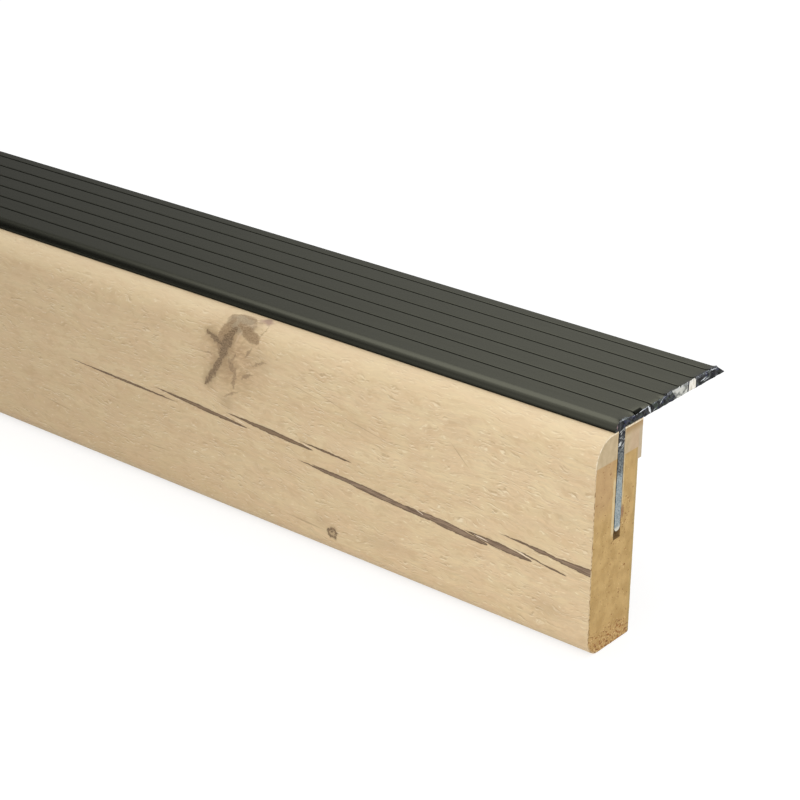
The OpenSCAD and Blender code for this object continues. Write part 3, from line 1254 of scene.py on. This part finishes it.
# %% Printed oak skin
def oak_print():
    """Pale rustic oak under matt lacquer, with grain, knots and cracks on the flat sheet."""
    material, place = begin("oak_print")
    along, _, _ = parts_of(place)
    sheet = place.node("ShaderNodeAttribute", {"attribute_name": "up_sheet"}, output="Fac")
    from_end = along - half_length
    colour, relief = oak_grain(from_end, sheet)

    walked = PRINT_SHOWN_END - from_end
    repeat = PRINT_SHOWN_END - walked.math("PINGPONG", walked, PRINT_REPEAT)
    thirds = walked * (1 / PRINT_REPEAT)
    third = thirds.math("FLOOR", thirds)
    turned = third.math("PINGPONG", third, 1.0)
    sheet = sheet + turned * (PRINT_TURN_HEIGHT - sheet * 2)

    flat = joined(repeat, sheet)
    lines = rise(deepest(flat, GRAIN_LINES), 0.0, 0.3)
    colour = blend(lines * 0.5, colour, tone(158, 128, 94))
    for middle, radii in SMUDGES:
        smudge = ellipse(flat, middle, radii, soft=0.9)
        colour = blend(smudge * 0.3, colour, tone(186, 156, 118))
    colour = with_knots(colour, repeat, sheet)
    colour, inside = with_cracks(colour, repeat, sheet)
    relief = relief - rise(inside, 0.0, 0.3) * 0.5
    return finish(material, place, colour, 0.55 + relief * 0.1, 0.0, relief, 0.04)


oak = oak_print()

# %% [markdown]
# ## Cut edges and boards
#
# The sheet's cut edge is a cream line 0.4 mm wide. The pale strip is dense and fine. The board is
# coarser: its sawn end is brown with a pinkish patch beside the slot, darker specks that crowd at
# the foot, and fluff along the walls of the slot. The long faces of both are pressed smooth.


# %% Cream edge of the sheet
def sheet_edge():
    """Cream core of the sheet. It was sanded clean on the nose and is browner down the face."""
    material, place = begin("sheet_edge")
    _, _, height = parts_of(place)
    stain = cloud(place, (1, 0.7, 0.9), shift=4, detail=3)
    on_nose = rise(height, 46, 50)
    clean = blend(on_nose, tone(212, 187, 146), tone(244, 228, 200))
    stained = blend(on_nose, tone(150, 118, 76), tone(216, 194, 158))
    colour = blend(rise(stain, 0.42, 0.64), clean, stained)
    return finish(material, place, colour, 0.7 + stain * 0.1, 0.0, stain, 0.03)


cream_edge = sheet_edge()


# %% Pale strip finishes
def pale_end():
    """Sawn end of the pale strip: fine mottling, pinkish behind the slot and on the lip."""
    material, place = begin("pale_strip_end")
    _, depth, height = parts_of(place)
    mottle = cloud(place, (1, 1.6, 2.4), shift=6, detail=3)
    fine = cloud(place, (0.3, 0.3, 0.3), shift=2, rough=0.7)
    colour = blend(rise(mottle, 0.3, 0.7), tone(199, 178, 142), tone(186, 164, 128))
    pink = rise(depth, 12.5, 15.0) * (1 - rise(depth, 17.2, 17.8)) * (1 - rise(height, 53, 55))
    colour = blend(pink * 0.5, colour, tone(196, 166, 136))
    colour = blend(rise(depth, 17.0, 17.6) * 0.5, colour, tone(190, 175, 150))
    behind_leg = rise(depth, slot_back, slot_back + 0.6)
    under_sheet = rise(height, strip_top - 2.4, strip_top - 0.3) * behind_leg
    colour = blend(under_sheet * 0.7, colour, tone(158, 122, 70))
    colour = shade(colour, 0.9 + fine * 0.2)
    return finish(material, place, colour, 0.72 + fine * 0.12, 0.0, fine * 0.6 + mottle * 0.4, 0.08)


def pale_side():
    """Planed long face of the pale strip."""
    material, place = begin("pale_strip_side")
    fibres = cloud(place, (6, 0.6, 0.6), shift=3, detail=3)
    mottle = cloud(place, (40, 6, 6), shift=5)
    colour = blend(rise(mottle, 0.3, 0.7), tone(200, 179, 143), tone(188, 166, 130))
    colour = shade(colour, 0.92 + fibres * 0.16)
    return finish(material, place, colour, 0.68 + fibres * 0.1, 0.0, fibres, 0.04)


strip_end, strip_side = pale_end(), pale_side()

# %% Board finishes
# A darker brown spot just behind the slot: middle and radii
DARK_SPOT = ((11.9, 34.4), (0.7, 2.2))


def board_end():
    """Sawn end of the board: brown fibres, specks that crowd at the foot, fluff along the slot."""
    material, place = begin("board_end")
    _, depth, height = parts_of(place)
    mottle = cloud(place, (1, 3.4, 4.2), shift=6)
    fibres = cloud(place, (0.5, 0.6, 0.6), shift=12, detail=3, rough=0.65)
    fine = cloud(place, (0.3, 0.3, 0.3), shift=2, rough=0.7)
    ragged = fibres - 0.5
    colour = blend(rise(mottle, 0.36, 0.66), tone(197, 163, 105), tone(181, 147, 90))
    pink = (1 - rise(depth, 6.0, 9.5)) * rise(height, 32, 42)
    colour = blend(pink * 0.55, colour, tone(188, 152, 112))
    colour = shade(colour, 0.84 + fibres * 0.18 + fine * 0.14)

    at_foot = 1 - rise(height, 1.5, 8.5)
    in_middle = between(depth, 7.5, 13.5, 3.0) * between(height, 14, 27, 5.0)
    by_slot = between(depth, 12.2, 14.6, 0.8) * between(height, 30, 37, 2.0)
    crowd = at_foot * 0.13 + in_middle * 0.03 + by_slot * 0.06
    specks = rise(cloud(place, (0.9, 0.85, 0.55), shift=15, detail=3) + crowd, 0.66, 0.72)
    flecks = rise(cloud(place, (0.9, 0.7, 0.45), shift=25, detail=3) + crowd, 0.67, 0.74)
    speck_tone = blend(rise(fine, 0.4, 0.6), tone(112, 66, 24), tone(166, 104, 42))
    colour = blend(at_foot * 0.5, colour, tone(182, 141, 82))
    colour = blend(flecks * 0.6, colour, tone(228, 196, 142))
    colour = blend(specks * 0.85, colour, speck_tone)

    colour = blend(rise(depth, 16.2, 16.9) * 0.4, colour, tone(166, 150, 100))
    front_wall = between(depth + ragged * 0.8, slot_front - 0.9, slot_front - 0.1, 0.25)
    back_wall = between(depth + ragged * 0.8, slot_back + 0.05, slot_back + 0.35, 0.15)
    front_wall = front_wall * between(height, slot_floor + 2.5, 43, 2.0)
    fluff = larger(front_wall, back_wall * rise(height, 34, 37))
    colour = blend(fluff * 0.6, colour, tone(222, 204, 162))
    dark_spot = ellipse(joined(depth, height), *DARK_SPOT, soft=0.5)
    colour = blend(dark_spot * 0.7, colour, tone(140, 100, 76))
    dash = rise(fibres, 0.5, 0.58) * (1 - rise(depth, 0.6, 1.1)) * between(height, 5, 14, 1.0)
    colour = blend(dash * 0.85, colour, tone(96, 62, 30))
    relief = fibres * 0.5 + fine * 0.3 - specks * 0.6
    return finish(material, place, colour, 0.74 + fine * 0.12, 0.0, relief, 0.12)


def board_side():
    """Pressed and sanded long face of the board, with painted shade in the slot."""
    material, place = begin("board_side")
    _, depth, height = parts_of(place)
    fibres = cloud(place, (2.6, 0.9, 0.9), shift=3, detail=4, rough=0.7)
    mottle = cloud(place, (26, 12, 12), shift=5, detail=4, rough=0.6)
    colour = blend(rise(mottle, 0.2, 0.8), tone(196, 163, 112), tone(182, 148, 98))
    speck = rise(cloud(place, (1.4, 0.6, 0.6), shift=15), 0.64, 0.72)
    colour = shade(colour, 0.84 + fibres * 0.3)
    colour = blend(speck * 0.5, colour, tone(126, 90, 48))
    # Painted shade on the floor and walls of the slot
    slot_shade = between(depth, slot_front - 0.05, slot_back + 0.05, 0.05)
    slot_shade = slot_shade * rise(height, slot_floor - 0.1, slot_floor)
    colour = blend(slot_shade * 0.65, colour, tone(96, 68, 32))
    return finish(material, place, colour, 0.66 + fibres * 0.1, 0.0, fibres, 0.05)


brown_end, brown_side = board_end(), board_side()

# %% [markdown]
# Each piece carries two finishes: the first for its long faces, the second for its sawn ends.


# %% Give the pieces their finishes
def dress(piece, long_faces, sawn_ends):
    """Puts the two finishes in the piece's material slots."""
    piece.data.materials.append(long_faces)
    piece.data.materials.append(sawn_ends)
    print(f"{piece.name}: {long_faces.name}, {sawn_ends.name}")


dress(profile, anodised, sawn_aluminium)
dress(board, brown_side, brown_end)
dress(strip_front, strip_side, strip_end)
dress(strip_back_part, strip_side, strip_end)
dress(decor_front, oak, cream_edge)
dress(decor_back, cream_edge, cream_edge)

# %% [markdown]
# ## Floor and light
#
# The nosing stands on a pale floor in soft light. One lamp in front lights the decor face. A larger
# one above and behind gives the flange its sheen, and ends where the sheen on the rounded nose has
# to fade out to the left. The floor and the room show white to the camera and in reflections. The
# floor keeps a share of ordinary shading, so that the nosing's shadow stays on it.

# %% Floor
FLOOR_SIZE = 12.0
FLOOR_GAP = 0.0002
FLOOR_FADE = (1.0, 2.6)


def seen_directly(start):
    """1 for rays from the camera, from glossy surfaces and through glass, 0 for all others."""
    path = start.node("ShaderNodeLightPath", output="Is Camera Ray")
    return larger(larger(path, path.other("Is Glossy Ray")), path.other("Is Transmission Ray"))


def shining(start, kind, strength, colour=(1, 1, 1)):
    """A surface or a backdrop that shines by itself."""
    return start.node(kind, {}, {"Color": (*colour, 1), "Strength": strength})


def either(share, first, second):
    """The first shader where share is 0, the second where it is 1, and both between."""
    return share.node("ShaderNodeMixShader", {}, {0: share, 1: first, 2: second})


def floor_paint():
    """Pale matt floor that shines where it is seen, and is plain white far from the piece."""
    material = bpy.data.materials.new("pale_floor")
    start = empty_tree(material)
    place = start.node("ShaderNodeTexCoord", output="Object")
    away = place.node("ShaderNodeVectorMath", {"operation": "LENGTH"}, {0: place}, output="Value")
    seen = seen_directly(start)
    matt = start.node("ShaderNodeBsdfDiffuse", {}, {"Color": (0.82, 0.82, 0.82, 1)})
    near = either(seen * 0.55, matt, shining(start, "ShaderNodeEmission", 1.3))
    far = shining(start, "ShaderNodeEmission", 1.0)
    both = either(seen * rise(away, *FLOOR_FADE), near, far)
    start.node("ShaderNodeOutputMaterial", {}, {"Surface": both})
    return material


def stage_sheet(name, corners, material):
    """Flat sheet with four corners and one material, kept apart from the nosing."""
    mesh = bpy.data.meshes.new(name)
    mesh.from_pydata(corners, [], [(0, 1, 2, 3)])
    mesh.materials.append(material)
    sheet = bpy.data.objects.new(name, mesh)
    bpy.context.collection.objects.link(sheet)
    return sheet


reach = FLOOR_SIZE / 2
square = [(-reach, -reach), (reach, -reach), (reach, reach), (-reach, reach)]
stage_sheet("floor", [(x, y, -FLOOR_GAP) for x, y in square], floor_paint())
print(f"floor {FLOOR_SIZE:.0f} m wide")

# %% World
ROOM_LIGHT = 0.5

world = bpy.data.worlds.new("room")
bpy.context.scene.world = world
room = empty_tree(world)
air = shining(room, "ShaderNodeBackground", ROOM_LIGHT, (0.98, 0.99, 1))
backdrop = shining(room, "ShaderNodeBackground", 1.0)
mixed = either(seen_directly(room), air, backdrop)
room.node("ShaderNodeOutputWorld", {}, {"Surface": mixed})
print("room light", ROOM_LIGHT)


# %% Lamps
def soft_lamp(name, place, aim, size, watts):
    """Square lamp at a place, turned towards aim."""
    data = bpy.data.lights.new(name, "AREA")
    data.shape = "SQUARE"
    data.size = size
    data.energy = watts
    lamp = bpy.data.objects.new(name, data)
    lamp.location = place
    heading = Vector(aim) - Vector(place)
    lamp.rotation_euler = heading.to_track_quat("-Z", "Y").to_euler()
    bpy.context.collection.objects.link(lamp)
    print(f"{name}: {watts} W, {size} m wide")


soft_lamp("front_lamp", place=(1.75, -1.0, 1.0), aim=(0.5, 0, 0.03), size=1.1, watts=17)
soft_lamp("top_lamp", place=(0.15, 0.9, 1.9), aim=(0.15, 0.65, 0.05), size=2.7, watts=19)

# %% [markdown]
# ## Dark card
#
# Metal shows what stands around it. In the photograph the flange gets darker to the left, and its
# rounded nose runs almost to black there, so something dark stood on that side. Photographers
# hold up black cards for this. A wide one with soft edges stands beyond the left end here. Only
# reflections see it, so it takes no light from the wood.

# %% Card
CARD_X = -2.2
CARD_FRONT = (-5.3, -2.6)
CARD_BACK = (-0.2, 5.2)
CARD_TOP = (2.1, 4.4)


def card_paint():
    """Black that fades in from the card's front edge and out towards its back edge and its top."""
    material = bpy.data.materials.new("black_card")
    start = empty_tree(material)
    place = start.node("ShaderNodeTexCoord", output="Object")
    _, depth, height = parts_of(place)
    share = rise(depth, *CARD_FRONT) * (1 - rise(depth, *CARD_BACK)) * (1 - rise(height, *CARD_TOP))
    clear = start.node("ShaderNodeBsdfTransparent")
    black = shining(start, "ShaderNodeEmission", 1.0, (0.02, 0.02, 0.02))
    both = either(share, clear, black)
    start.node("ShaderNodeOutputMaterial", {}, {"Surface": both})
    return material


front, back, top = CARD_FRONT[0], CARD_BACK[1], CARD_TOP[1]
rectangle = [(front, 0), (back, 0), (back, top), (front, top)]
card = stage_sheet("card", [(CARD_X, y, z) for y, z in rectangle], card_paint())
card.visible_camera = False
card.visible_diffuse = False
card.visible_transmission = False
card.visible_shadow = False
print(f"card: {back - front:.1f} m wide, {top:.1f} m high")

# %% [markdown]
# ## View
#
# The picture is shown without any film look, so that a colour renders as it is written.

# %% View
bpy.context.scene.view_settings.view_transform = "Standard"
